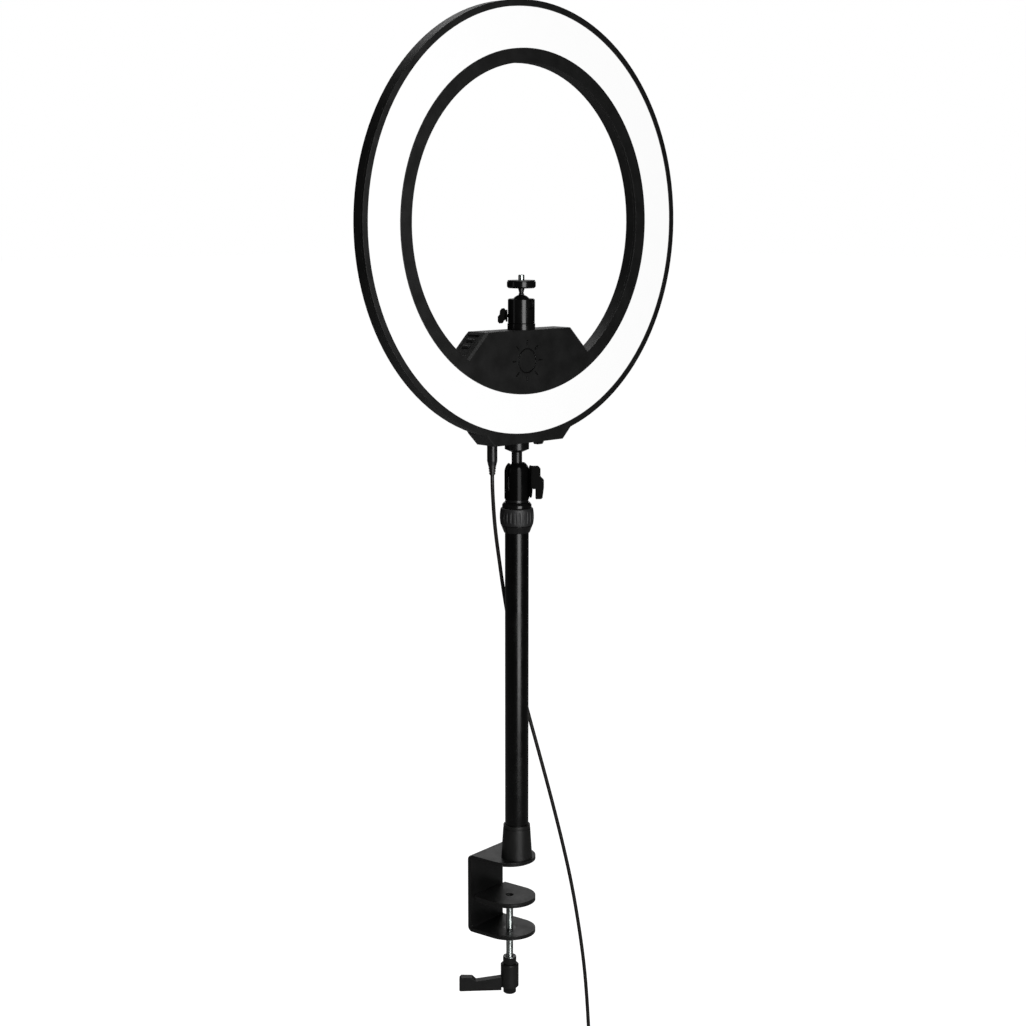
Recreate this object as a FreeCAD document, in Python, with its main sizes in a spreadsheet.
import FreeCAD, Part
import math
import os

import Sketcher

# Desk-clamped ring light. Frame: +Z up, the ring faces -Y, the pole stands on the
# Z axis and z = 0 is the desk surface under the clamp's top pad. Millimetres.

doc = FreeCAD.newDocument("ring_light")
sheet = doc.addObject("Spreadsheet::Sheet", "Sizes")
Vector = FreeCAD.Vector


class Size:
    """A number together with the sheet expression that it comes from."""

    def __init__(self, value, text):
        self.value = value
        self.text = text

    def __add__(self, other):
        other = as_size(other)
        return Size(self.value + other.value, f"({self.text} + {other.text})")

    def __sub__(self, other):
        other = as_size(other)
        return Size(self.value - other.value, f"({self.text} - {other.text})")

    def __mul__(self, other):
        other = as_size(other)
        return Size(self.value * other.value, f"({self.text} * {other.text})")

    def __truediv__(self, other):
        other = as_size(other)
        return Size(self.value / other.value, f"({self.text} / {other.text})")

    def __neg__(self):
        return Size(-self.value, f"(0 - {self.text})")

    def __radd__(self, other):
        return as_size(other) + self

    def __rsub__(self, other):
        return as_size(other) - self

    def __rmul__(self, other):
        return as_size(other) * self


def as_size(value):
    return value if isinstance(value, Size) else Size(float(value), f"({float(value)})")


def root(value):
    value = as_size(value)
    return Size(math.sqrt(value.value), f"sqrt({value.text})")


def size(name, value):
    row = size.count = size.count + 1
    sheet.set(f"A{row}", name)
    sheet.set(f"B{row}", str(value))
    sheet.setAlias(f"B{row}", name)
    return Size(float(value), f"Sizes.{name}")


size.count = 0

# ---------------------------------------------------------------- driving sizes
gap = size("moving_gap", 0.3)
fit = size("running_fit", 0.1)

# pole
tube_radius = size("outer_tube_radius", 12.5)
tube_wall = size("tube_wall", 1.2)
tube_top = size("outer_tube_top", 366)
inner_radius = size("inner_tube_radius", 10)
inner_bottom = size("inner_tube_bottom", 118)
sleeve_top = size("sleeve_top", 42)
sleeve_radius = size("sleeve_radius", 16.7)
collar_bottom = size("collar_bottom", 360)
collar_top = size("collar_top", 392)
collar_radius = size("collar_radius", 17.8)
flutes = 26

# clamp
clamp_turn = 7.9
clamp_width = size("clamp_width", 56)
jaw_radius = clamp_width / 2
steel = size("clamp_steel", 4)
wall_face = size("clamp_wall_face", 41.2)
screw_offset = size("clamp_screw_offset", 9.7)
pad_thickness = size("top_pad_thickness", 1)
jaw_top = size("movable_jaw_depth", 40.5)
low_jaw_top = size("bottom_jaw_depth", 77.6)
screw_radius = size("clamp_screw_radius", 4)
lever_top = size("lever_bush_depth", 110.6)
lever_radius = size("lever_hub_radius", 9.8)
lever_reach = size("lever_reach", 55)
lever_turn = 135.8

# ball head under the ring
ball_height = size("ball_height", 423.5)
ball_radius = size("ball_radius", 10.5)
housing_radius = size("housing_radius", 13)
housing_bottom = size("housing_bottom", 395.1)
stem_radius = size("stem_radius", 5.5)
flange_radius = size("flange_radius", 12.7)
knob_turn = -40.0

# ring
ring_height = size("ring_height", 679.5)
ring_front = size("ring_front", -19.5)
ring_radius = size("ring_radius", 220)
hole_radius = size("hole_radius", 159)
ring_depth = size("ring_depth", 15)
bezel_width = size("bezel_width", 6.4)
band_width = size("inner_band_width", 14.2)
cover = size("front_cover_thickness", 3)
shell = size("shell_wall", 2.2)
hub_depth = size("hub_depth", 33)
hub_bevel = size("hub_bevel", 6)
hub_top = size("hub_top_drop", 107.5)
hub_top_half = size("hub_top_half_width", 61)
hub_slant = size("hub_slant", 25)
hub_bottom = size("hub_bottom_drop", 223.5)
hub_bottom_half = size("hub_bottom_half_width", 49.5)
hub_low_slant = size("hub_low_slant", 12)
chips = 72

# camera head above the hub
head_y = size("camera_head_y", -6.5)
head_ball_height = size("camera_ball_height", 597)
head_ball = size("camera_ball_radius", 10.6)
head_radius = size("camera_housing_radius", 13.8)
plate_radius = size("camera_plate_radius", 14.8)
camera_knob_turn = 135.8
stud_radius = size("camera_stud_radius", 3.175)
stud_neck = size("camera_stud_neck_radius", 2.6)
base_stud = size("camera_head_bolt_radius", 3)

# cord
plug_x = size("plug_x", -42)
plug_y = size("plug_y", -7)
relief_bottom = size("strain_relief_bottom", 425)
cord_radius = size("cord_radius", 2)
coil_radius = size("coil_mean_radius", 22)
coil_half = size("coil_half_section", 6.5)
coil_x = size("coil_x", 118)
coil_y = size("coil_y", -4)
floor = size("coil_rest_height", -285)
doc.recompute()

hub_z = ring_height - hub_top
low_z = ring_height - hub_bottom
upright = FreeCAD.Rotation()
facing = FreeCAD.Rotation(Vector(1, 0, 0), 90)
nodes = []


# ---------------------------------------------------------------- sketch and feature helpers
def about_z(angle):
    return FreeCAD.Rotation(Vector(0, 0, 1), angle)


def place(item, x=0, y=0, z=0, rotation=upright):
    base = [as_size(value) for value in (x, y, z)]
    item.Placement = FreeCAD.Placement(Vector(*[value.value for value in base]), rotation)
    for letter, value in zip("xyz", base):
        item.setExpression(f"Placement.Base.{letter}", value.text)
    return item


def new_body(label, x=0, y=0, z=0, rotation=upright):
    body = doc.addObject("PartDesign::Body", label)
    body.Label = label
    place(body, x, y, z, rotation)
    nodes.append(body)
    return body


def origin_part(body, role):
    return next(item for item in body.Origin.OriginFeatures if item.Role == role)


def new_sketch(body, role, offset=0):
    sketch = body.newObject("Sketcher::SketchObject", f"{body.Label}_sketch")
    sketch.AttachmentSupport = [(origin_part(body, role), "")]
    sketch.MapMode = "FlatFace"
    sketch.setExpression("AttachmentOffset.Base.z", as_size(offset).text)
    return sketch


def arc_edge(start, end, radius):
    """Arc between two points, turning left for a positive radius and right for a negative one."""
    chord = end - start
    reach = math.sqrt(max(radius * radius - chord.Length ** 2 / 4, 0))
    side = Vector(-chord.y, chord.x, 0).normalize() * math.copysign(reach, radius)
    centre = (start + end) / 2 + side
    first, last = (start, end) if radius > 0 else (end, start)
    angles = [math.atan2(point.y - centre.y, point.x - centre.x) for point in (first, last)]
    circle = Part.Circle(centre, Vector(0, 0, 1), abs(radius))
    if angles[1] <= angles[0]:
        angles[1] += 2 * math.pi
    return Part.ArcOfCircle(circle, angles[0], angles[1])


def outline(sketch, points):
    """Closed outline. A third value in a point is the radius of the arc that leads to it."""
    corners = [(as_size(point[0]), as_size(point[1])) for point in points]
    radii = [as_size(point[2]) if len(point) > 2 else None for point in points]
    first = sketch.GeometryCount
    count = len(points)
    starts = []
    for index in range(count):
        following = (index + 1) % count
        start = Vector(corners[index][0].value, corners[index][1].value, 0)
        end = Vector(corners[following][0].value, corners[following][1].value, 0)
        radius = radii[following]
        edge = Part.LineSegment(start, end) if radius is None else arc_edge(start, end, radius.value)
        sketch.addGeometry(edge)
        starts.append(2 if radius is not None and radius.value < 0 else 1)
    for index in range(count):
        following = (index + 1) % count
        ends = (first + index, 3 - starts[index], first + following, starts[following])
        sketch.addConstraint(Sketcher.Constraint("Coincident", *ends))
    for index in range(count):
        for kind, value in zip(("DistanceX", "DistanceY"), corners[index]):
            rule = Sketcher.Constraint(kind, -1, 1, first + index, starts[index], value.value)
            number = sketch.addConstraint(rule)
            sketch.setExpression(f"Constraints[{number}]", value.text)
        radius = radii[(index + 1) % count]
        if radius is not None:
            rule = Sketcher.Constraint("Radius", first + index, abs(radius.value))
            number = sketch.addConstraint(rule)
            sketch.setExpression(f"Constraints[{number}]", f"abs({radius.text})")


def round_hole(sketch, across, along, radius):
    across, along, radius = as_size(across), as_size(along), as_size(radius)
    centre = Vector(across.value, along.value, 0)
    index = sketch.addGeometry(Part.Circle(centre, Vector(0, 0, 1), radius.value))
    for kind, value in (("DistanceX", across), ("DistanceY", along)):
        number = sketch.addConstraint(Sketcher.Constraint(kind, -1, 1, index, 3, value.value))
        sketch.setExpression(f"Constraints[{number}]", value.text)
    number = sketch.addConstraint(Sketcher.Constraint("Radius", index, radius.value))
    sketch.setExpression(f"Constraints[{number}]", radius.text)


def add_feature(body, kind, sketch):
    feature = body.newObject(f"PartDesign::{kind}", f"{body.Label}_{kind.lower()}")
    feature.Profile = sketch
    sketch.Visibility = False
    body.Tip = feature
    return feature


def extrude(body, kind, sketch, length, reverse=False, middle=False, taper=0):
    feature = add_feature(body, kind, sketch)
    feature.setExpression("Length", as_size(length).text)
    feature.Reversed = reverse
    feature.Midplane = middle
    feature.TaperAngle = taper
    return feature


def pad(body, role, points, length, offset=0, reverse=False, middle=False, taper=0):
    sketch = new_sketch(body, role, offset)
    outline(sketch, points)
    return extrude(body, "Pad", sketch, length, reverse, middle, taper)


def pocket(body, role, points, length, offset=0, reverse=False, middle=False):
    sketch = new_sketch(body, role, offset)
    outline(sketch, points)
    return extrude(body, "Pocket", sketch, length, reverse, middle)


def drill(body, role, across, along, radius, length, offset=0, reverse=False):
    sketch = new_sketch(body, role, offset)
    round_hole(sketch, across, along, radius)
    return extrude(body, "Pocket", sketch, length, reverse)


def boss(body, role, across, along, radius, length, offset=0, reverse=False):
    sketch = new_sketch(body, role, offset)
    round_hole(sketch, across, along, radius)
    return extrude(body, "Pad", sketch, length, reverse)


def turn(body, points, kind="Revolution"):
    sketch = new_sketch(body, "XZ_Plane")
    outline(sketch, points)
    feature = add_feature(body, kind, sketch)
    feature.ReferenceAxis = (sketch, ["V_Axis"])
    feature.Angle = 360
    return feature


def repeat(body, feature, count, angle=360):
    pattern = body.newObject("PartDesign::PolarPattern", f"{body.Label}_pattern")
    pattern.Originals = [feature]
    pattern.Axis = (origin_part(body, "Z_Axis"), [""])
    pattern.Angle = angle
    pattern.Occurrences = count
    body.Tip = pattern
    return pattern


def turned(label, points, x=0, y=0, z=0, rotation=upright):
    """A round piece from its half section (radius, height)."""
    body = new_body(label, x, y, z, rotation)
    turn(body, points)
    return body


def tube(label, inner, outer, bottom, top, x=0, y=0, z=0, rotation=upright):
    points = [(inner, bottom), (outer, bottom), (outer, top), (inner, top)]
    return turned(label, points, x, y, z, rotation)


def rod(label, radius, bottom, top, x=0, y=0, z=0, rotation=upright):
    return tube(label, 0, radius, bottom, top, x, y, z, rotation)


def chamfer(body, size_of, wanted):
    """Chamfer the edges of the body's last feature that the test picks."""
    doc.recompute()
    base = body.Tip
    names = [f"Edge{number}" for number, edge in enumerate(base.Shape.Edges, 1) if wanted(edge)]
    feature = body.newObject("PartDesign::Chamfer", f"{body.Label}_chamfer")
    feature.Base = (base, names)
    feature.setExpression("Size", as_size(size_of).text)
    body.Tip = feature
    return feature


def compound(label, members):
    """A group of identical loose pieces in one node."""
    group = doc.addObject("Part::Compound", label)
    group.Label = label
    group.Links = members
    nodes.append(group)
    return group


# ---------------------------------------------------------------- desk clamp
clamp = about_z(clamp_turn)
angle = math.radians(clamp_turn)
screw_x = screw_offset * -math.sin(angle)
screw_y = screw_offset * math.cos(angle)
jaw_tip = screw_offset - jaw_radius


def jaw_outline(radius, back):
    """Straight-sided plate with a half-round tip centred on the screw."""
    tip = screw_offset - radius
    return [(-radius, back), (-radius, screw_offset), (0, tip, radius), (radius, screw_offset, radius),
            (radius, back)]


def make_bracket():
    body = new_body("clamp_bracket", rotation=clamp)
    outer_bend = size("clamp_outer_bend", 5.5)
    inner_bend = outer_bend - steel
    back = wall_face + steel
    top = pad_thickness + steel
    low = -(low_jaw_top + steel)
    pad(body, "YZ_Plane", [
        (jaw_tip, top), (jaw_tip, pad_thickness),
        (wall_face - inner_bend, pad_thickness), (wall_face, pad_thickness - inner_bend, -inner_bend),
        (wall_face, inner_bend - low_jaw_top), (wall_face - inner_bend, -low_jaw_top, -inner_bend),
        (jaw_tip, -low_jaw_top), (jaw_tip, low),
        (back - outer_bend, low), (back, low + outer_bend, outer_bend),
        (back, top - outer_bend), (back - outer_bend, top, outer_bend),
    ], clamp_width, middle=True)
    edge = jaw_radius + 1
    pocket(body, "XY_Plane", [
        (edge, screw_offset), (edge, jaw_tip - 1), (-edge, jaw_tip - 1), (-edge, screw_offset),
        (-jaw_radius, screw_offset), (0, jaw_tip, jaw_radius), (jaw_radius, screw_offset, jaw_radius),
    ], low_jaw_top * 2.5, middle=True)
    turn(body, [
        (0, pad_thickness - 0.1), (8.1, pad_thickness - 0.1), (4.2, top + 0.1), (0, top + 0.1),
    ], "Groove")
    drill(body, "XY_Plane", 0, screw_offset, 7, steel + 2, offset=low - 1, reverse=True)


def make_clamp():
    make_bracket()
    body = new_body("top_pad", rotation=clamp)
    pad(body, "XY_Plane", jaw_outline(jaw_radius - 2, wall_face - 3), pad_thickness)
    turned("jaw_bush", [
        (screw_radius + fit, -low_jaw_top), (screw_radius + fit, -(low_jaw_top + steel + 3)),
        (9, -(low_jaw_top + steel + 3)), (9, -(low_jaw_top + steel)),
        (7, -(low_jaw_top + steel)), (7, -low_jaw_top),
    ], screw_x, screw_y)
    bolt_top = size("base_bolt_top", 31)
    turned("base_bolt", [
        (0, pad_thickness), (8, pad_thickness), (4, pad_thickness + steel), (4, bolt_top), (0, bolt_top),
    ])
    rear = wall_face - 3
    jaw_under = jaw_top + 5
    for label, low, thick in (("jaw_pad", jaw_top + 2, 2), ("jaw_plate", jaw_under, 3)):
        body = new_body(label, rotation=clamp)
        pad(body, "XY_Plane", jaw_outline(jaw_radius, rear), thick, offset=-low)
        drill(body, "XY_Plane", 0, screw_offset, screw_radius + 0.5, thick, offset=-low, reverse=True)
        notch = [(-jaw_radius - 1, rear + 1), (-jaw_radius - 1, rear - 4), (3 - jaw_radius, rear - 4),
                 (3 - jaw_radius, rear + 1)]
        pocket(body, "XY_Plane", notch, thick, offset=-low, reverse=True)
    tube("jaw_retainer", screw_radius + fit, 8, -(jaw_under + 5), -jaw_under, screw_x, screw_y)


def make_lever():
    hub_top_z = -(lever_top + 8.1)
    hub_low = hub_top_z - 26.5
    stub_low = hub_top_z - 15.5
    web_low = hub_top_z - 19
    stub = size("lever_insert_radius", 6.4)
    pin = size("lever_screw_radius", 3)
    head = size("lever_screw_head", 7)
    screw_low = hub_top_z - 9
    rod("clamp_screw", screw_radius, screw_low, -(jaw_top + 2.7), screw_x, screw_y)
    turned("lever_insert", [
        (screw_radius, screw_low), (screw_radius, -lever_top), (7.3, -lever_top), (7.3, hub_top_z + gap),
        (stub, hub_top_z + gap), (stub, stub_low), (pin, stub_low), (pin, screw_low),
    ], screw_x, screw_y)
    turned("lever_screw", [
        (0, screw_low - 0.4), (pin, screw_low - 0.4), (pin, hub_low + 1.2), (head, hub_low + 1.2),
        (head, hub_low - 6), (head - 1, hub_low - 7), (0, hub_low - 7),
    ], screw_x, screw_y)
    spring_top = web_low - 0.1
    tube("lever_spring", pin + 0.5, stub, hub_low + 1.3, spring_top, screw_x, screw_y)
    body = new_body("lever_handle", screw_x, screw_y, rotation=about_z(lever_turn))
    arm_low = hub_low - 4.6
    pad(body, "XZ_Plane", [
        (4, hub_low), (9, hub_low), (9, hub_low - 3.2), (lever_reach - 1, arm_low),
        (lever_reach, arm_low + 1),
        (lever_reach, arm_low + 13.6), (lever_reach - 2, arm_low + 15.6), (lever_reach - 14, arm_low + 15.4),
        (lever_reach - 18, arm_low + 11.4), (4, hub_top_z - 14.6),
    ], 9, middle=True)
    turn(body, [
        (0, hub_low), (lever_radius - 1, hub_low), (lever_radius, hub_low + 1), (lever_radius, hub_top_z - 1),
        (lever_radius - 1, hub_top_z), (0, hub_top_z),
    ])
    turn(body, [
        (0, hub_top_z + 1), (stub + fit, hub_top_z + 1), (stub + fit, stub_low - gap),
        (pin + 0.2, stub_low - gap), (pin + 0.2, web_low), (head + gap, web_low),
        (head + gap, arm_low - 1), (0, arm_low - 1),
    ], "Groove")


# ---------------------------------------------------------------- telescopic pole
def make_pole():
    floor_z = pad_thickness + steel
    tube_low = floor_z + 3
    bore = tube_radius - tube_wall
    rim = sleeve_top - 3.9
    slim = size("sleeve_top_radius", 14.3)
    turned("base_sleeve", [
        (4.2, floor_z), (sleeve_radius, floor_z), (slim + 0.3, rim - 0.6), (slim - 0.3, rim - 0.3),
        (slim - 0.3, rim), (slim + 0.1, rim + 0.3), (slim, sleeve_top - 0.5), (slim - 0.5, sleeve_top),
        (tube_radius, sleeve_top), (tube_radius, tube_low), (4.2, tube_low),
    ])
    tube("base_plug", screw_radius, bore, tube_low, tube_low + 30)
    tube("outer_tube", bore, tube_radius, tube_low, tube_top)
    tube("guide_bush", inner_radius - tube_wall - 3, bore - fit, inner_bottom - 14, inner_bottom - 3)
    turn(doc.guide_bush, [
        (inner_radius - tube_wall - 3, inner_bottom - 4), (bore - fit, inner_bottom - 4),
        (bore - fit, inner_bottom - gap), (inner_radius - tube_wall - fit, inner_bottom - gap),
        (inner_radius - tube_wall - fit, inner_bottom + 14),
        (inner_radius - tube_wall - 3, inner_bottom + 14),
    ])
    inner_top = collar_top - gap
    tube("inner_tube", inner_radius - tube_wall, inner_radius, inner_bottom, inner_top)
    turned("tube_plug", [
        (0, inner_top - 26), (inner_radius - tube_wall, inner_top - 26),
        (inner_radius - tube_wall, inner_top),
        (4, inner_top), (4, housing_bottom + 7), (0, housing_bottom + 7),
    ])
    tube("neck_ring", 4, 12.2, collar_top + gap, housing_bottom)


def make_collar():
    thread = size("collar_thread_radius", 14.4)
    grip_low = collar_bottom + 7.6
    grip_top = collar_top - 5.9
    seat = tube_top - 2
    turned("tube_top_ring", [
        (tube_radius, collar_bottom), (tube_radius + 1, collar_bottom), (collar_radius - 1.4, grip_low - gap),
        (thread, grip_low - gap), (thread, grip_top - 6), (inner_radius + 2.4, grip_top - 6),
        (inner_radius + 2.4, tube_top + 1), (inner_radius + 0.5, tube_top + 1),
        (inner_radius + 0.5, tube_top), (tube_radius, tube_top), (tube_radius, seat),
    ])
    body = turned("collet", [
        (inner_radius + 0.08, tube_top + 1), (inner_radius + 2.4, tube_top + 1),
        (inner_radius + 2.4, grip_top - 4), (inner_radius + 1.2, grip_top - 1),
        (inner_radius + 0.08, grip_top - 1),
    ])
    slit = pocket(body, "XY_Plane", [
        (0, 0.5), (0, -0.5), (tube_radius + 2, -0.5), (tube_radius + 2, 0.5),
    ], 16, offset=tube_top + 4, reverse=True)
    repeat(body, slit, 4)
    grip = turned("twist_collar", [
        (thread + gap, grip_low), (collar_radius - 1.7, grip_low), (collar_radius - 0.8, grip_low + 0.8),
        (collar_radius - 0.8, grip_top - 0.8, size("grip_crown_radius", 42)), (collar_radius - 1.7, grip_top),
        (inner_radius + 3, grip_top), (inner_radius + 3, grip_top - 3), (thread + gap, grip_top - 5),
    ])
    flute = drill(grip, "XY_Plane", collar_radius + 0.7, 0, 1.25, 22, offset=grip_low - 1, reverse=True)
    repeat(grip, flute, flutes)
    turned("collar_top_ring", [
        (inner_radius + gap, grip_top), (14.6, grip_top), (15.4, grip_top + 0.8), (15.4, grip_top + 3.4),
        (13.4, collar_top), (inner_radius + gap, collar_top),
    ])


# ---------------------------------------------------------------- ball head under the ring
def round_top_socket(body, outer, cavity, height, low, opening):
    """Barrel with a domed top, a ball cavity and an open mouth."""
    mouth = outer * math.sin(math.radians(opening))
    rise = outer * math.cos(math.radians(opening))
    inner_mouth = cavity * math.sin(math.radians(opening))
    inner_rise = cavity * math.cos(math.radians(opening))
    turn(body, [
        (cavity, low), (outer, low), (outer, height), (mouth, height + rise, outer),
        (inner_mouth, height + inner_rise), (cavity, height, -cavity),
    ])


def stem_slot(body, forward, half, height, reach):
    """Slot in the socket's wall, at the front (-Y) or the back, that lets the stem lie level."""
    points = [(half, 0, half), (half, reach), (-half, reach), (-half, 0), (0, -half, half)]
    shifted = [(point[0], height + point[1], *point[2:]) for point in points]
    return pocket(body, "XZ_Plane", shifted, housing_radius + 3, reverse=forward)


def side_hole(body, bearing, height, radius, start, length):
    """Level round hole along a bearing, from a start distance off the body's axis."""
    sketch = new_sketch(body, "XZ_Plane")
    heading = FreeCAD.Rotation(Vector(0, 1, 0), 90 + bearing)
    sketch.setExpression("AttachmentOffset.Base.z", None)
    sketch.AttachmentOffset = FreeCAD.Placement(heading.multVec(Vector(0, 0, start)), heading)
    round_hole(sketch, 0, height, radius)
    return extrude(body, "Pocket", sketch, length, reverse=True)


def locking_knob(label, reach, half, sweep, wings, x, y, z, bearing):
    """Disc beside a housing with two unlike wings. Local +X is down and +Z is outwards."""
    outward = about_z(bearing).multiply(FreeCAD.Rotation(Vector(0, 1, 0), 90))
    near = reach + 0.4
    disc = near + 1.8
    body = turned(label, [
        (2, near), (half - 0.4, near), (half, near + 0.4), (half, disc - 0.4), (half - 0.4, disc), (2, disc),
    ], x, y, z, outward)
    pad(body, "XZ_Plane", [(down, disc + out) for down, out in wings], sweep, middle=True)
    return body, outward


def seat_cup(label, radius, outer, height, low, x=0, y=0, rotation=upright):
    """Plastic cup under a ball."""
    lip = radius - 2
    drop = root(radius * radius - lip * lip)
    turned(label, [
        (0, low), (outer, low), (outer, height - drop), (lip, height - drop), (0, height - radius, -radius),
    ], x, y, 0, rotation)


def make_ball_head():
    cavity = ball_radius + 0.5
    body = new_body("tilt_housing")
    round_top_socket(body, housing_radius, cavity, ball_height, housing_bottom + 6, 42)
    turn(body, [
        (4, housing_bottom), (housing_radius - 0.6, housing_bottom), (housing_radius, housing_bottom + 0.6),
        (housing_radius, housing_bottom + 8), (4, housing_bottom + 8),
    ])
    stem_slot(body, False, stem_radius + 0.5, ball_height, 14)
    slit = size("clamping_slit_half_width", 1.7)
    slit_low = housing_bottom + 9.5
    pocket(body, "YZ_Plane", [
        (slit, slit_low), (slit, ball_height + 14), (-slit, ball_height + 14), (-slit, slit_low),
    ], housing_radius + 3)
    seat_cup("ball_seat", ball_radius + fit, cavity - fit, ball_height, housing_bottom + 8)
    neck = root(ball_radius * ball_radius - stem_radius * stem_radius)
    turned("tilt_ball", [
        (0, ball_height - ball_radius), (stem_radius, ball_height + neck, ball_radius),
        (stem_radius, low_z - 11.4), (flange_radius, low_z - 8.2), (flange_radius, low_z),
        (stud_radius, low_z), (stud_radius, low_z + 10), (0, low_z + 10),
    ])


def make_tilt_knob():
    knob_z = ball_height - 10.2
    half = size("knob_half_height", 17)
    body, outward = locking_knob("tilt_knob", housing_radius, half, 8.6, [
        (1 - half, 0), (1 - half, 7.2), (3 - half, 9.2), (-6, 9.2), (-4, 10.8), (-2, 12.8), (6, 12.8),
        (half, 11.4), (half + 1.2, 9.8), (half + 1.2, 4.6), (7.5, 4.6), (7.5, 1.4), (4, 0),
    ], 0, 0, knob_z, knob_turn)
    tip = housing_radius - 1.6
    end = housing_radius + 10
    turn(body, [(0, housing_radius), (2, housing_radius), (2, end), (0, end)], "Groove")
    turned("tilt_knob_screw", [(0, tip), (2, tip), (2, end), (0, end)], 0, 0, knob_z, outward)
    side_hole(doc.tilt_housing, knob_turn, knob_z, 2 + fit, 0, housing_radius + 2)


# ---------------------------------------------------------------- ring housing
def ring_place(item):
    return place(item, 0, ring_front, ring_height, facing)


def ring_body(label):
    return ring_place(new_body(label))


def hub_outline(inset):
    """Hub seen from the front, relative to the ring's centre, moved inwards by an inset."""
    shift = inset * (math.sqrt(2) - 1)
    side = hub_top_half + hub_slant
    low_side = hub_bottom_half + hub_low_slant
    right = [
        (hub_bottom_half - shift, inset - hub_bottom),
        (low_side - inset, inset / 2 + hub_low_slant - hub_bottom),
        (side - inset, -(hub_top + hub_slant + shift)),
        (hub_top_half - shift, -(hub_top + inset)),
    ]
    return right + [(-point[0], point[1]) for point in reversed(right)]


def slant_point(side, along, deep):
    """Point on a control slant: distance down the slant and depth below its face."""
    diagonal = math.sqrt(0.5)
    across = hub_top_half + (along - deep) * diagonal
    height = -(hub_top + (along + deep) * diagonal)
    return (across * side, height)


def slant_outline(side, *points):
    corners = [slant_point(side, as_size(along), as_size(deep)) for along, deep in points]
    return corners if side > 0 else corners[::-1]


button_starts = (8, 16.5)
button_length = size("button_length", 5.5)
button_front = size("button_front_depth", 12)
button_width = size("button_width", 10)
board_low = size("led_board_inner_radius", 175)
board_high = size("led_board_outer_radius", 210)
board_top = shell + 1.6
chip_ring = (board_low + board_high) / 2
post_ring = hole_radius + 6.4
post_start = math.radians(-45)
cavity_depth = hub_depth - hub_bevel + 1
power_x = size("power_button_x", 21)
power_depth = size("power_button_depth", 9)
plug_depth = ring_front - plug_y
stem_depth = ring_front
head_depth = ring_front - head_y


def at_posts(radius):
    return radius * math.cos(post_start), radius * math.sin(post_start)


def make_rear_shell():
    body = ring_body("rear_shell")
    wall = ring_radius - shell
    low = shell - ring_depth
    turn(body, [
        (hole_radius, -cover), (hole_radius, 1 - ring_depth), (hole_radius + 1, -ring_depth),
        (ring_radius - 1.4, -ring_depth), (ring_radius, 1.4 - ring_depth), (ring_radius, -cover),
        (wall, -cover), (wall, low), (hole_radius + shell, low), (hole_radius + shell, -cover),
    ])
    pad(body, "XY_Plane", hub_outline(0), hub_depth - hub_bevel - cover, offset=-cover, reverse=True)
    pad(body, "XY_Plane", hub_outline(0), hub_bevel, offset=hub_bevel - hub_depth, reverse=True, taper=-32)
    pocket(body, "XY_Plane", hub_outline(shell), cavity_depth - cover, offset=-cover)
    turn(body, [(hole_radius + shell, low), (wall, low), (wall, 0), (hole_radius + shell, 0)], "Groove")
    for side in (1, -1):
        recess = slant_outline(side, (4, -0.5), (31, -0.5), (31, 1.2), (4, 1.2))
        pocket(body, "XY_Plane", recess, 19, offset=-7)
        for start in button_starts:
            window = slant_outline(side, (start, 0), (start + button_length, 0),
                                   (start + button_length, 3), (start, 3))
            pocket(body, "XY_Plane", window, button_width, offset=-button_front)
    boss(body, "XZ_Plane", 0, stem_depth, 8, 12, offset=hub_bottom - 1, reverse=True)
    drill(body, "XZ_Plane", 0, stem_depth, 5, 11, offset=hub_bottom)
    boss(body, "XZ_Plane", 0, head_depth, 7.5, 10.5, offset=hub_top + 1)
    drill(body, "XZ_Plane", 0, head_depth, 5, 10.4, offset=hub_top, reverse=True)
    drill(body, "XZ_Plane", plug_x, plug_depth, 4, shell + 1, offset=hub_bottom + 0.5)
    pocket(body, "XY_Plane", [
        (power_x - 6, -hub_bottom - 1), (power_x + 6, -hub_bottom - 1), (power_x + 6, shell + 1 - hub_bottom),
        (power_x - 6, shell + 1 - hub_bottom),
    ], 6, offset=3 - power_depth)
    for across in (34, -34):
        for height in (-132, -183):
            boss(body, "XY_Plane", across, height, 3, cavity_depth - 24, offset=-cavity_depth)
    across, height = at_posts(post_ring)
    hole = drill(body, "XY_Plane", across, height, 1.6, shell + 1, offset=low + 0.5)
    repeat(body, hole, 7, 270)
    sink = drill(body, "XY_Plane", across, height, 2.8, 1.1, offset=-ring_depth, reverse=True)
    repeat(body, sink, 7, 270)


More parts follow.
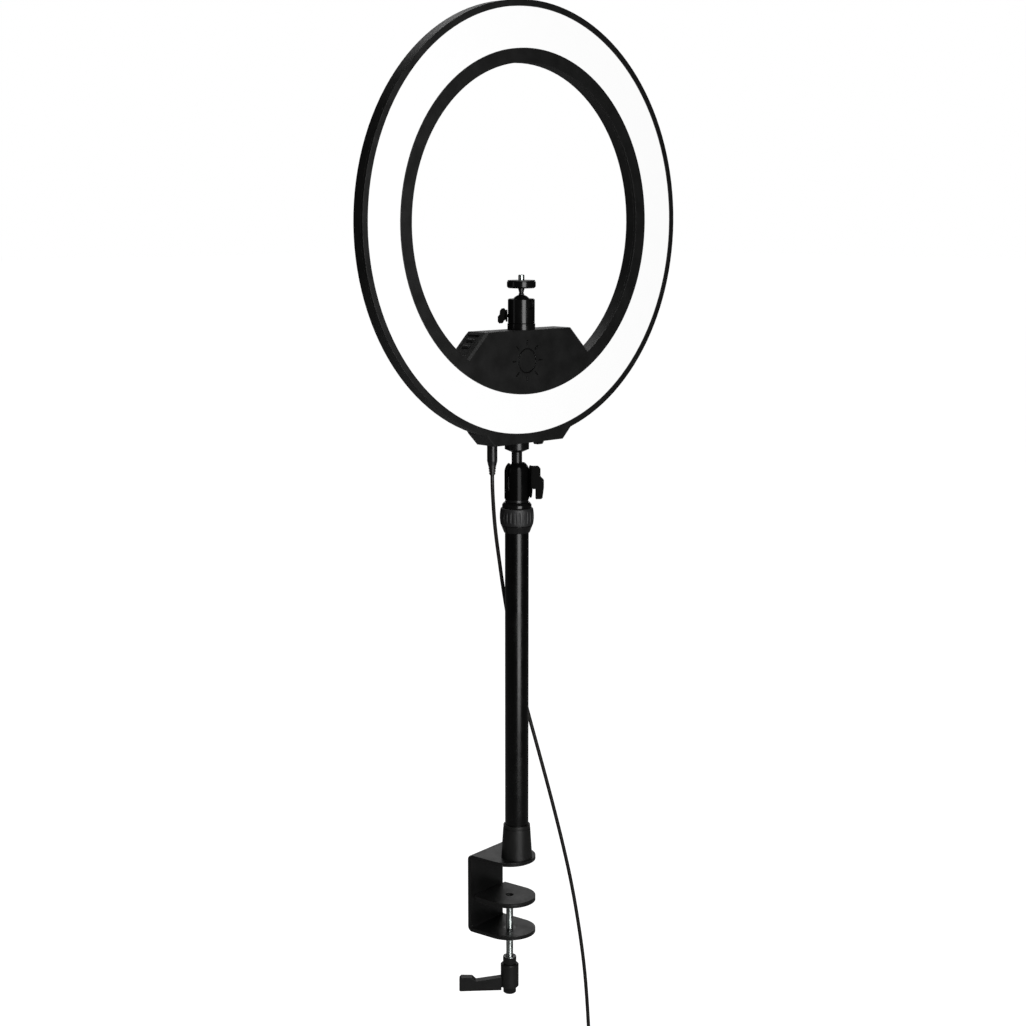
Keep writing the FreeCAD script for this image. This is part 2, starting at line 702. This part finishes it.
def make_covers():
    lip = size("diffuser_recess", 0.6)
    skirt = 6.5
    bezel_inner = ring_radius - bezel_width
    body = ring_body("outer_bezel")
    turn(body, [
        (bezel_inner, 0), (bezel_inner, -cover), (bezel_inner + 2, -cover), (bezel_inner + 2, -skirt),
        (ring_radius - shell - 0.2, -skirt), (ring_radius - shell - 0.2, -cover), (ring_radius, -cover),
        (ring_radius, 0),
    ])
    tie = ring_radius - 4
    slant = hub_low_slant + 2.5
    low_side = hub_bottom_half + slant
    inner_x = low_side - 1.5
    inner_y = root(tie * tie - inner_x * inner_x)
    pad(body, "XY_Plane", [
        (-hub_bottom_half, -hub_bottom), (hub_bottom_half, -hub_bottom), (low_side, slant - hub_bottom),
        (inner_x, -inner_y), (0, -tie, -tie), (-inner_x, -inner_y, -tie), (-low_side, slant - hub_bottom),
    ], cover, reverse=True)
    chamfer(body, 1, lambda edge: is_slant(edge, 10, 200))

    band_outer = hole_radius + band_width
    body = ring_body("hub_cover")
    turn(body, [
        (hole_radius, 0), (hole_radius, -cover), (band_outer - 4, -cover),
        (band_outer - 4, -skirt), (band_outer - 2, -skirt), (band_outer - 2, -cover), (band_outer, -cover),
        (band_outer, 0),
    ])
    tie = hole_radius + 5
    slant = hub_slant + 3
    side = hub_top_half + slant
    inner_y = root(tie * tie - side * side)
    pad(body, "XY_Plane", [
        (-hub_top_half, -hub_top), (-side, -(hub_top + slant)), (-side, -inner_y), (0, -tie, tie),
        (side, -inner_y, tie), (side, -(hub_top + slant)), (hub_top_half, -hub_top),
    ], cover, reverse=True)
    chamfer(body, 2.2, lambda edge: is_slant(edge, 25, 100))
    across, height = at_posts(post_ring)
    reach = ring_depth - shell - cover
    post = boss(body, "XY_Plane", across, height, 2.75, reach, offset=-cover, reverse=True)
    repeat(body, post, 7, 270)
    pilot = drill(body, "XY_Plane", across, height, 1.25, 8, offset=shell - ring_depth, reverse=True)
    repeat(body, pilot, 7, 270)

    inner = band_outer + 0.2
    outer = bezel_inner - 0.2
    step = cover + 0.1
    turn(ring_body("diffuser"), [
        (inner, -lip), (outer, -lip), (outer, -step), (outer + 1.9, -step), (outer + 1.9, -step - 1.3),
        (inner - 1.9, -step - 1.3), (inner - 1.9, -step), (inner, -step),
    ])


def is_slant(edge, shortest, lowest):
    """Sloping edge of the front face, at least so long and at least so far below the ring's centre."""
    ends = [vertex.Point for vertex in edge.Vertexes]
    if len(ends) < 2 or edge.Length < shortest:
        return False
    across = ends[1] - ends[0]
    at_front = all(abs(point.z) < 0.01 for point in ends)
    low_enough = all(point.y < -lowest for point in ends)
    return at_front and low_enough and abs(abs(across.x) - abs(across.y)) < 0.01


def make_lighting():
    floor_top = shell - ring_depth
    board = ring_body("led_board")
    turn(board, [
        (board_low, floor_top), (board_high, floor_top), (board_high, board_top - ring_depth),
        (board_low, board_top - ring_depth),
    ])
    liner = ring_body("reflector_sheet")
    low = board_top - ring_depth + 0.1
    high = -(cover + 1.6)
    left, right = board_low - 1, board_high + 1.4
    turn(liner, [
        (left, high), (left, low), (right, low), (right, high), (right - 0.5, high), (right - 0.5, low + 0.4),
        (left + 0.5, low + 0.4), (left + 0.5, high),
    ])
    window = pocket(liner, "XY_Plane", [
        (chip_ring - 2, -3), (chip_ring + 2, -3), (chip_ring + 2, 3), (chip_ring - 2, 3),
    ], 2, offset=low + 1)
    repeat(liner, window, chips)
    members = []
    for index in range(chips):
        chip = doc.addObject("Part::Box", "chip")
        for side, value in (("Length", 2.8), ("Width", 5), ("Height", 0.7)):
            chip.setExpression(side, as_size(value).text)
        turned_by = about_z(360 * index / chips)
        corner = Vector(chip_ring.value - 1.4, -2.5, (board_top - ring_depth).value)
        chip.Placement = FreeCAD.Placement(turned_by.multVec(corner), turned_by)
        members.append(chip)
    ring_place(compound("led_chips", members))


def make_driver():
    board = ring_body("driver_board")
    pad(board, "XY_Plane", [(-42, -192), (42, -192), (42, -125), (-42, -125)], 1.6, offset=-24)
    for across, height, radius, tall in ((-24, -150, 5, 12), (-11, -150, 5, 12), (24, -172, 7, 8)):
        boss(board, "XY_Plane", across, height, radius, tall, offset=-22.4)
    pad(board, "XY_Plane", [(2, -160), (14, -160), (14, -148), (2, -148)], 2, offset=-22.4)
    jack = ring_body("dc_jack")
    inside = hub_bottom - shell
    pad(jack, "XZ_Plane", [
        (plug_x - 6, plug_depth - 5.5), (plug_x + 6, plug_depth - 5.5), (plug_x + 6, plug_depth + 5.5),
        (plug_x - 6, plug_depth + 5.5),
    ], 12, offset=inside, reverse=True)
    drill(jack, "XZ_Plane", plug_x, plug_depth, 2.9, 10, offset=inside)


def make_fasteners():
    inserts = [
        tube("bottom_insert", stud_radius, 5, low_z + 0.4, low_z + 10.4),
        tube("top_insert", base_stud, 5, hub_z - 10.2, hub_z - 0.2, 0, head_y),
    ]
    for insert in inserts:
        nodes.remove(insert)
    compound("threaded_inserts", inserts)
    members = []
    for index in range(7):
        bearing = post_start + math.radians(45) * index
        spot = Vector(post_ring.value * math.cos(bearing), post_ring.value * math.sin(bearing), 0)
        head = doc.addObject("Part::Cylinder", "screw_head")
        shank = doc.addObject("Part::Cylinder", "screw_shank")
        for item, radius, tall, low in ((head, 2.6, 1, 0), (shank, 1.2, 7, 1)):
            item.setExpression("Radius", as_size(radius).text)
            item.setExpression("Height", as_size(tall).text)
            item.Placement.Base = spot + Vector(0, 0, low + 0.1 - ring_depth.value)
        screw = doc.addObject("Part::Fuse", "screw")
        screw.Base = head
        screw.Tool = shank
        members.append(screw)
    ring_place(compound("housing_screws", members))


def make_buttons():
    """Sprung keys: a domed cap, a neck in the window and a flange behind the wall."""
    for side, name in ((-1, "brightness"), (1, "temperature")):
        for start, sign in zip(button_starts, ("up", "down")):
            body = ring_body(f"{name}_{sign}_button")
            first, last = start + gap, start + button_length - gap
            middle = (first + last) / 2
            half = (last - first) / 2
            rise = 0.5
            dome = (half * half + rise * rise) / (2 * rise)
            cap = [(first - 0.8, 3.6), (first - 0.8, 2.5), (first, 2.5), (first, 0.9)]
            cap += [(last, 0.9), (last, 2.5), (last + 0.8, 2.5), (last + 0.8, 3.6)]
            points = slant_outline(side, *cap)
            arc_at = 4
            points[arc_at] = (*points[arc_at], -dome)
            pad(body, "XY_Plane", points, button_width - 2 * gap, offset=-(button_front + gap), reverse=True)
    body = ring_body("power_button")
    inside = shell + gap - hub_bottom
    pad(body, "XY_Plane", [
        (power_x - 3.6, -hub_bottom - 4), (power_x + 3.6, -hub_bottom - 4),
        (power_x + 5.6, -hub_bottom - 1.4),
        (power_x + 5.6, inside), (power_x + 7, inside), (power_x + 7, inside + 1.2),
        (power_x - 7, inside + 1.2), (power_x - 7, inside), (power_x - 5.6, inside),
        (power_x - 5.6, -hub_bottom - 1.4),
    ], 6 - 2 * gap, offset=3 - gap - power_depth, reverse=True)


# ---------------------------------------------------------------- camera head above the hub
def make_camera_head():
    centre = head_ball_height
    base_top = hub_z + 6.5
    turned("camera_head_base", [
        (0, hub_z - 9), (base_stud, hub_z - 9), (base_stud, hub_z), (head_radius + 0.5, hub_z),
        (head_radius + 0.5, base_top - 0.6), (head_radius - 0.1, base_top), (0, base_top),
    ], 0, head_y)
    housing = new_body("camera_head_housing", 0, head_y)
    cavity = head_ball + 0.5
    rim = size("camera_housing_rim", 6.4)
    mouth = root(cavity * cavity - rim * rim)
    floor_z = hub_z + 14
    turn(housing, [
        (0, base_top), (head_radius - 0.4, base_top), (head_radius, base_top + 0.4),
        (head_radius, centre + rim - 0.8), (head_radius - 0.8, centre + rim), (mouth, centre + rim),
        (cavity, centre, -cavity), (cavity, floor_z), (0, floor_z),
    ])
    stem_slot(housing, True, 4.3, centre, 9)
    seat_cup("camera_seat", head_ball + fit, cavity - fit, centre, floor_z, 0, head_y)
    knob_z = hub_z + 14
    side_hole(housing, camera_knob_turn, knob_z, 1.6 + fit, cavity.value, head_radius - cavity + 1)
    sphere = [(0, centre - head_ball), (head_ball, centre, head_ball), (0, centre + head_ball, head_ball)]
    turned("camera_ball", sphere, 0, head_y)
    inner = head_ball + gap
    foot = size("camera_stem_foot", 3)
    rise = root(inner * inner - foot * foot)
    plate_low = centre + 17.2
    turned("camera_stem", [
        (0, plate_low + 3), (0, centre + inner), (foot, centre + rise, -inner), (foot, centre + 11.2),
        (2.2, centre + 12), (3.4, plate_low - gap), (2.4, plate_low - gap), (2.4, plate_low + 3),
    ], 0, head_y)
    plate_top = plate_low + 7
    turned("camera_plate", [
        (2.5, plate_low), (plate_radius - 1.5, plate_low), (plate_radius, plate_low + 1.5),
        (plate_radius, plate_top - 0.6), (plate_radius - 0.6, plate_top), (stud_neck, plate_top),
        (stud_neck, plate_low + 3.6), (2.5, plate_low + 3.6),
    ], 0, head_y)
    tube("camera_pad", stud_radius + 0.2, plate_radius - 0.8, plate_top, plate_top + 1, 0, head_y)
    thread_low = plate_top + 1.3
    thread_top = plate_top + 6
    turned("camera_screw", [
        (0, plate_low + 3.8), (stud_neck, plate_low + 3.8), (stud_neck, thread_low),
        (stud_radius, thread_low),
        (stud_radius, thread_top), (stud_radius - 0.6, thread_top + 0.6), (0, thread_top + 0.6),
    ], 0, head_y)
    half = size("camera_knob_half_height", 6.2)
    knob, _ = locking_knob("camera_knob", head_radius, half, 5.4, [
        (0.6 - half, 0), (-7.7, 1.6), (-7.2, 4.4), (-5, 6), (-1, 6.4), (1, 8.2), (6.2, 8.2), (7.9, 6.4),
        (7.5, 3), (5, 1.6), (4, 0),
    ], 0, head_y, knob_z, camera_knob_turn)
    turn(knob, [
        (0, cavity + 0.3), (1.6, cavity + 0.3), (1.6, head_radius + 0.4), (2.5, head_radius + 0.4),
        (2.5, head_radius + 2), (0, head_radius + 2),
    ])


# ---------------------------------------------------------------- power cord
# The lead hangs from its plug, passes behind the pole and ends in a tied coil.
lead_route = [
    (-42, -7, 425), (-42, -7, 419), (-38.5, -4, 402), (-25, 7, 366), (-7, 19, 326), (4, 23, 286),
    (13, 22, 243), (22, 19, 196), (33, 15.5, 153), (45, 10.5, 107), (56.5, 5, 60), (68, -1, 9),
    (77.5, -7, -41), (84, -13, -93), (87.5, -18.5, -140), (89, -22, -184), (88.5, -25, -217),
    (90, -27, -239), (95, -27.5, -256), (104, -27, -268), (116, -26, -273),
]
tail_route = [(96, -6, -281.5), (96.5, -27, -282), (101, -43, -281), (111, -52, -279.5), (121, -54, -278)]


def cord_path(route):
    """Straight runs joined by tangent arcs, each as large as its two runs allow."""
    points = [Vector(*point) for point in route]
    edges = []
    radii = []
    start = points[0]
    for before, corner, after in zip(points, points[1:], points[2:]):
        to_corner = corner - before
        onward = after - corner
        half_turn = to_corner.getAngle(onward) / 2
        reach = 0.45 * min(to_corner.Length, onward.Length)
        radii.append(reach / math.tan(half_turn))
        first = corner - to_corner.normalize() * reach
        last = corner + onward.normalize() * reach
        inward = (first + last) / 2 - corner
        apex = corner + inward.normalize() * radii[-1] * (1 / math.cos(half_turn) - 1)
        edges.append(Part.LineSegment(start, first).toShape())
        edges.append(Part.Arc(first, apex, last).toShape())
        start = last
    edges.append(Part.LineSegment(start, points[-1]).toShape())
    return Part.Wire(edges), radii


def make_cord_tube(label, route):
    path, radii = cord_path(route)
    direction = Vector(*route[1]) - Vector(*route[0])
    circle = Part.makeCircle(cord_radius.value, Vector(*route[0]), direction)
    solid = path.makePipeShell([Part.Wire([circle])], True, True)
    item = doc.addObject("Part::Feature", label)
    item.Label = label
    item.Shape = solid
    nodes.append(item)
    expected = math.pi * cord_radius.value ** 2 * path.Length
    print(label, "length", round(path.Length, 1), "volume ratio", round(solid.Volume / expected, 4))
    print(label, "radii", [round(radius) for radius in radii])


def make_cord():
    low = low_z
    turned("dc_plug", [
        (0, low + 9), (2.75, low + 9), (2.75, low), (5, low), (5.3, low - 0.4), (5.3, low - 16.2),
        (4.3, low - 20.5), (0, low - 20.5),
    ], plug_x, plug_y)
    ribs = 4
    pitch = (low - 20.5 - relief_bottom) / ribs
    points = [(0, low - 20.5)]
    for rib in range(ribs):
        top = low - 20.5 - pitch * rib
        rib_radius = 4.1 - 0.3 * rib
        points += [(rib_radius, top), (rib_radius, top - pitch * 0.6), (rib_radius - 0.7, top - pitch * 0.7),
                   (rib_radius - 0.7, top - pitch)]
    turned("plug_strain_relief", points + [(0, relief_bottom)], plug_x, plug_y)
    make_cord_tube("dc_lead", lead_route)
    make_cord_tube("lead_tail", tail_route)
    coil_z = floor + coil_half + 1
    inside = coil_radius - coil_half
    outside = coil_radius + coil_half
    tube("lead_coil", inside, outside, -coil_half, coil_half, coil_x, coil_y, coil_z)


def make_adapter():
    """Plug-in power supply: its long side lies along X, the lead enters its end."""
    left = size("adapter_left", 135)
    middle = size("adapter_y", -54)
    length = size("adapter_length", 64)
    half = size("adapter_width", 38) / 2
    height = size("adapter_height", 28)
    corner = size("adapter_corner_radius", 4)
    body = new_body("power_adapter", left, middle, floor)
    pad(body, "XY_Plane", [
        (corner, -half, corner), (length - corner, -half), (length, corner - half, corner),
        (length, half - corner), (length - corner, half, corner), (corner, half), (0, half - corner, corner),
        (0, corner - half),
    ], height)
    relief = boss(body, "YZ_Plane", 0, tail_route[-1][2] - floor, 3.6, 14, reverse=True)
    relief.TaperAngle = -4.5
    blades = []
    for side in (-1, 1):
        blade = doc.addObject("Part::Box", "blade")
        for name, value in (("Length", 17), ("Width", 1.5), ("Height", 6.3)):
            blade.setExpression(name, as_size(value).text)
        place(blade, left + length, middle + 6.35 * side - 0.75, floor + height / 2 - 3.15)
        blades.append(blade)
    compound("adapter_prongs", blades)


def write_parts():
    doc.recompute()
    faults = [item.Name for item in doc.Objects if {"Invalid", "Error"} & set(item.State)]
    for node in nodes:
        shape = node.Shape
        if shape.isNull() or not shape.isValid() or not shape.Solids:
            faults.append(node.Label)
        elif len(shape.Solids) > 1 and node.TypeId != "Part::Compound":
            faults.append(f"{node.Label} has {len(shape.Solids)} solids")
    if faults:
        raise RuntimeError(f"failed objects: {faults}")
    os.makedirs("parts", exist_ok=True)
    for node in nodes:
        node.Shape.exportStep(f"parts/{node.Label}.step")
        print(f"{node.Label}: {node.Shape.Volume:.1f} mm3")


make_clamp()
make_lever()
make_pole()
make_collar()
make_ball_head()
make_tilt_knob()
make_rear_shell()
make_covers()
make_lighting()
make_driver()
make_fasteners()
make_buttons()
make_camera_head()
make_cord()
make_adapter()
write_parts()
